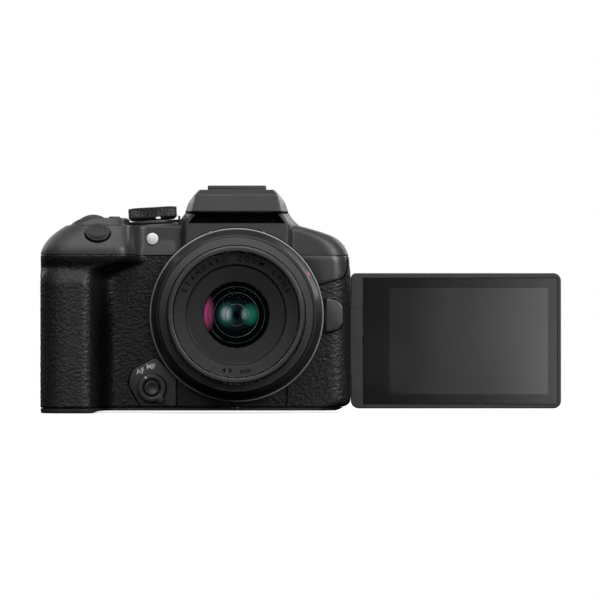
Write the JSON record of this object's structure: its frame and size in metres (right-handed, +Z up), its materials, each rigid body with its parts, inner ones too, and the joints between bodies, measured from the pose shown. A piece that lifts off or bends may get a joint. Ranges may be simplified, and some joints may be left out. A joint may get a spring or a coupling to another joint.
{
  "type": "mirrorless camera",
  "caption": "Mirrorless camera with grip, viewfinder hump and pop-up flash, a collapsible zoom lens, and a vari-angle screen swung out to face forward.",
  "frame": {"origin": "on the base plate, under the optical axis and in the image plane", "axes": "+X towards the open screen, -Y out of the lens, +Z up"},
  "size_m": [0.208, 0.1007, 0.0905],
  "materials": {
    "black_shell": "fine spark-eroded black moulding",
    "leatherette": "black pebbled leatherette",
    "black_rubber": "matt black rubber",
    "gloss_black": "polished black",
    "dark_metal": "black coated steel",
    "bright_metal": "plated metal",
    "alloy_frame": "die-cast alloy",
    "coated_glass": "coated optical glass",
    "white_lamp": "clear white lens",
    "circuit": "green circuit laminate",
    "cell_case": "grey-black cell case"
  },
  "bodies": {
    "root": {"base_plate": "black_shell", "badge_plate": "black_shell", "switch_plate": "black_shell", "front_shell": "black_shell", "rear_shell": "black_shell", "top_shell": "black_shell", "grip_cover": "leatherette", "side_cover": "leatherette", "thumb_rest": "leatherette", "eyecup": "black_rubber", "image_sensor": "gloss_black", "memory_card": "gloss_black", "hot_shoe": "dark_metal", "shutter_frame": "dark_metal", "port_block": "dark_metal", "tripod_bush": "bright_metal", "strap_lug_left": "bright_metal", "strap_lug_right": "bright_metal", "mount_ring": "bright_metal", "chassis": "alloy_frame", "eyepiece_lens": "coated_glass", "af_lamp": "white_lamp", "main_board": "circuit", "battery": "cell_case"},
    "lens": {"lens_mount": "bright_metal", "lens_barrel": "black_shell", "rear_element": "coated_glass"},
    "zoom_ring": {"zoom_ring": "black_rubber"},
    "inner_barrel": {"inner_barrel": "black_shell", "front_bezel": "black_shell", "front_element": "coated_glass"},
    "control_ring": {"control_ring": "black_shell"},
    "focus_group": {"focus_group": "coated_glass"},
    "screen_arm": {"screen_arm": "black_shell"},
    "screen": {"screen_frame": "black_shell", "screen_back": "black_shell", "screen_glass": "gloss_black"},
    "flash_head": {"flash_head": "black_shell", "flash_window": "coated_glass"},
    "power_lever": {"power_lever": "black_shell"},
    "mode_dial": {"mode_dial": "black_shell"},
    "main_dial": {"main_dial": "black_shell"},
    "quick_dial": {"quick_dial": "black_shell"},
    "af_mf_lever": {"af_mf_lever": "black_shell"},
    "battery_door": {"battery_door": "black_shell"},
    "port_cover_upper": {"port_cover_upper": "black_rubber"},
    "port_cover_lower": {"port_cover_lower": "black_rubber"},
    "shutter_button": {"shutter_button": "black_shell"},
    "m_fn_button": {"m_fn_button": "black_shell"},
    "movie_button": {"movie_button": "black_shell"},
    "lens_release_button": {"lens_release_button": "black_shell"},
    "preview_button": {"preview_button": "black_shell"},
    "info_button": {"info_button": "black_shell"},
    "play_button": {"play_button": "black_shell"},
    "af_on_button": {"af_on_button": "black_shell"},
    "menu_button": {"menu_button": "black_shell"},
    "set_button": {"set_button": "black_shell"},
    "cross_pad": {"cross_pad": "black_shell"},
    "joystick": {"joystick": "black_rubber"},
    "shutter_curtain": {"shutter_curtain": "dark_metal"}
  },
  "joints": [
    {"name": "lens_twist", "type": "hinge", "parent": "root", "child": "lens", "pos_m": [0, -0.02, 0.0379], "axis": [0, -1, 0], "range_deg": [0, 60]},
    {"name": "zoom_turn", "type": "hinge", "parent": "lens", "child": "zoom_ring", "pos_m": [0, -0.04, 0.0379], "axis": [0, -1, 0], "range_deg": [0, 95]},
    {"name": "zoom_slide", "type": "slide", "parent": "lens", "child": "inner_barrel", "axis": [0, -1, 0], "range_m": [0, 0.016]},
    {"name": "control_turn", "type": "hinge", "parent": "lens", "child": "control_ring", "pos_m": [0, -0.055, 0.0379], "axis": [0, -1, 0], "continuous": true},
    {"name": "focus_slide", "type": "slide", "parent": "inner_barrel", "child": "focus_group", "axis": [0, -1, 0], "range_m": [-0.002, 0.003]},
    {"name": "screen_swing", "type": "hinge", "parent": "root", "child": "screen_arm", "pos_m": [0.045, 0.0125, 0.02765], "axis": [0, 0, -1], "range_deg": [-180, 0]},
    {"name": "screen_tilt", "type": "hinge", "parent": "screen_arm", "child": "screen", "pos_m": [0.0507, 0.0125, 0.02765], "axis": [-1, 0, 0], "range_deg": [0, 270]},
    {"name": "flash_lift", "type": "hinge", "parent": "root", "child": "flash_head", "pos_m": [0, -0.006, 0.0872], "axis": [-1, 0, 0], "range_deg": [0, 70]},
    {"name": "power_turn", "type": "hinge", "parent": "root", "child": "power_lever", "pos_m": [-0.0334, -0.006, 0.0744], "axis": [0.061, 0, -0.9981], "range_deg": [0, 35]},
    {"name": "mode_turn", "type": "hinge", "parent": "root", "child": "mode_dial", "pos_m": [-0.0334, -0.006, 0.0744], "axis": [-0.061, 0, 0.9981], "continuous": true},
    {"name": "main_dial_turn", "type": "hinge", "parent": "root", "child": "main_dial", "pos_m": [-0.0565, -0.03, 0.0692], "axis": [0, -1, 0], "continuous": true},
    {"name": "quick_dial_turn", "type": "hinge", "parent": "root", "child": "quick_dial", "pos_m": [-0.0575, 0.0065, 0.0728], "axis": [0, 0, 1], "continuous": true},
    {"name": "af_mf_turn", "type": "hinge", "parent": "root", "child": "af_mf_lever", "pos_m": [-0.0336, -0.02, 0.009], "axis": [0, 1, 0], "range_deg": [0, 27]},
    {"name": "battery_door_open", "type": "hinge", "parent": "root", "child": "battery_door", "pos_m": [-0.053, -0.016, 0], "axis": [0, -1, 0], "range_deg": [0, 95]},
    {"name": "port_cover_upper_open", "type": "hinge", "parent": "root", "child": "port_cover_upper", "pos_m": [0.0454, -0.0086, 0.04155], "axis": [0, 0, 1], "range_deg": [-95, 0]},
    {"name": "port_cover_lower_open", "type": "hinge", "parent": "root", "child": "port_cover_lower", "pos_m": [0.0454, -0.0086, 0.02205], "axis": [0, 0, 1], "range_deg": [-95, 0]},
    {"name": "shutter_button_press", "type": "slide", "parent": "root", "child": "shutter_button", "axis": [0, 0.6947, -0.7193], "range_m": [0, 0.0012], "stiffness_N_per_m": 200},
    {"name": "m_fn_button_press", "type": "slide", "parent": "root", "child": "m_fn_button", "axis": [0, 0, -1], "range_m": [0, 0.0006], "stiffness_N_per_m": 200},
    {"name": "movie_button_press", "type": "slide", "parent": "root", "child": "movie_button", "axis": [0, 0, -1], "range_m": [0, 0.0006], "stiffness_N_per_m": 200},
    {"name": "lens_release_button_press", "type": "slide", "parent": "root", "child": "lens_release_button", "axis": [0, 1, 0], "range_m": [0, 0.0011], "stiffness_N_per_m": 200},
    {"name": "preview_button_press", "type": "slide", "parent": "root", "child": "preview_button", "axis": [0, 1, 0], "range_m": [0, 0.0009], "stiffness_N_per_m": 200},
    {"name": "info_button_press", "type": "slide", "parent": "root", "child": "info_button", "axis": [0, -1, 0], "range_m": [0, 0.0007], "stiffness_N_per_m": 200},
    {"name": "play_button_press", "type": "slide", "parent": "root", "child": "play_button", "axis": [0, -1, 0], "range_m": [0, 0.0007], "stiffness_N_per_m": 200},
    {"name": "af_on_button_press", "type": "slide", "parent": "root", "child": "af_on_button", "axis": [0, -1, 0], "range_m": [0, 0.0007], "stiffness_N_per_m": 200},
    {"name": "menu_button_press", "type": "slide", "parent": "root", "child": "menu_button", "axis": [0, -1, 0], "range_m": [0, 0.0007], "stiffness_N_per_m": 200},
    {"name": "set_button_press", "type": "slide", "parent": "root", "child": "set_button", "axis": [0, -1, 0], "range_m": [0, 0.0007], "stiffness_N_per_m": 200},
    {"name": "cross_pad_rock", "type": "hinge", "parent": "root", "child": "cross_pad", "pos_m": [-0.058, 0.015, 0.0263], "axis": [1, 0, 0], "range_deg": [-2.5, 2.5], "stiffness_Nm_per_rad": 0.05},
    {"name": "joystick_rock", "type": "hinge", "parent": "root", "child": "joystick", "pos_m": [-0.0505, 0.013, 0.0528], "axis": [1, 0, 0], "range_deg": [-8, 8], "stiffness_Nm_per_rad": 0.05},
    {"name": "shutter_run", "type": "slide", "parent": "root", "child": "shutter_curtain", "axis": [0, 0, 1], "range_m": [0, 0.0186]}
  ],
  "couplings": [
    {"joint": "zoom_slide", "follows": "zoom_turn", "m_per_rad": 0.0096}
  ]
}
